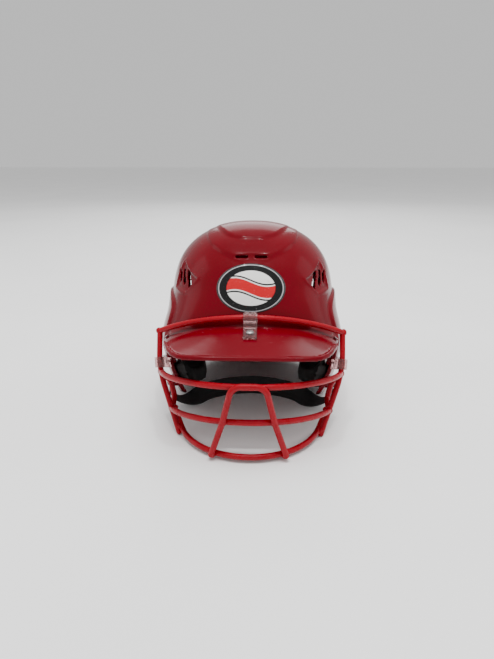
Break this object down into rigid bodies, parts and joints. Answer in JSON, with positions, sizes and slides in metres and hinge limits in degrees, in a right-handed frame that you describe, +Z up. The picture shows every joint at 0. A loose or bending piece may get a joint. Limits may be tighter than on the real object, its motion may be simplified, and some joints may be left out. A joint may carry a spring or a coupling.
{
  "type": "batting helmet",
  "caption": "Vented batting helmet with ear flaps, bill, wire face guard held by clear clips, inner pads and a chin strap on press studs.",
  "frame": {"origin": "middle of the bounding box on the table that the helmet stands on", "axes": "-Y is the front, where the bill and the guard are; +X is the wearer's left; +Z is up. The helmet stands tilted back by 15.5 degrees on its guard feet and its rear rim."},
  "size_m": [0.2328, 0.3286, 0.2277],
  "materials": {
    "shell": "gloss",
    "decal": "gloss",
    "guard": "gloss",
    "clip": "clear",
    "hardware": "satin",
    "padding": "matte",
    "strap": "matte",
    "snap": "satin",
    "rivet": "gloss"
  },
  "bodies": {
    "helmet": {"outer_shell": "shell", "front_decal": "decal", "top_bar": "guard", "eye_bar": "guard", "mid_bar": "guard", "chin_bar": "guard", "nose_arch": "guard", "left_upright": "guard", "right_upright": "guard", "left_side_loop": "guard", "right_side_loop": "guard", "centre_clip": "clip", "left_side_clip": "clip", "right_side_clip": "clip", "centre_clip_screw": "hardware", "centre_t_nut": "hardware", "side_clip_screws": "hardware", "side_t_nuts": "hardware", "front_pad": "padding", "rear_pad": "padding", "crown_pad": "padding", "left_temple_pad": "padding", "right_temple_pad": "padding", "left_jaw_pad": "padding", "right_jaw_pad": "padding", "snap_studs": "hardware", "temple_rivets": "rivet"},
    "strap": {"chin_strap": "strap", "snap_caps": "snap"}
  },
  "joints": [
    {"name": "strap_swing", "type": "hinge", "parent": "helmet", "child": "strap", "pos_m": [0, -0.04326, 0.03793], "axis": [-1, 0, 0], "range_deg": [0, 45]}
  ]
}
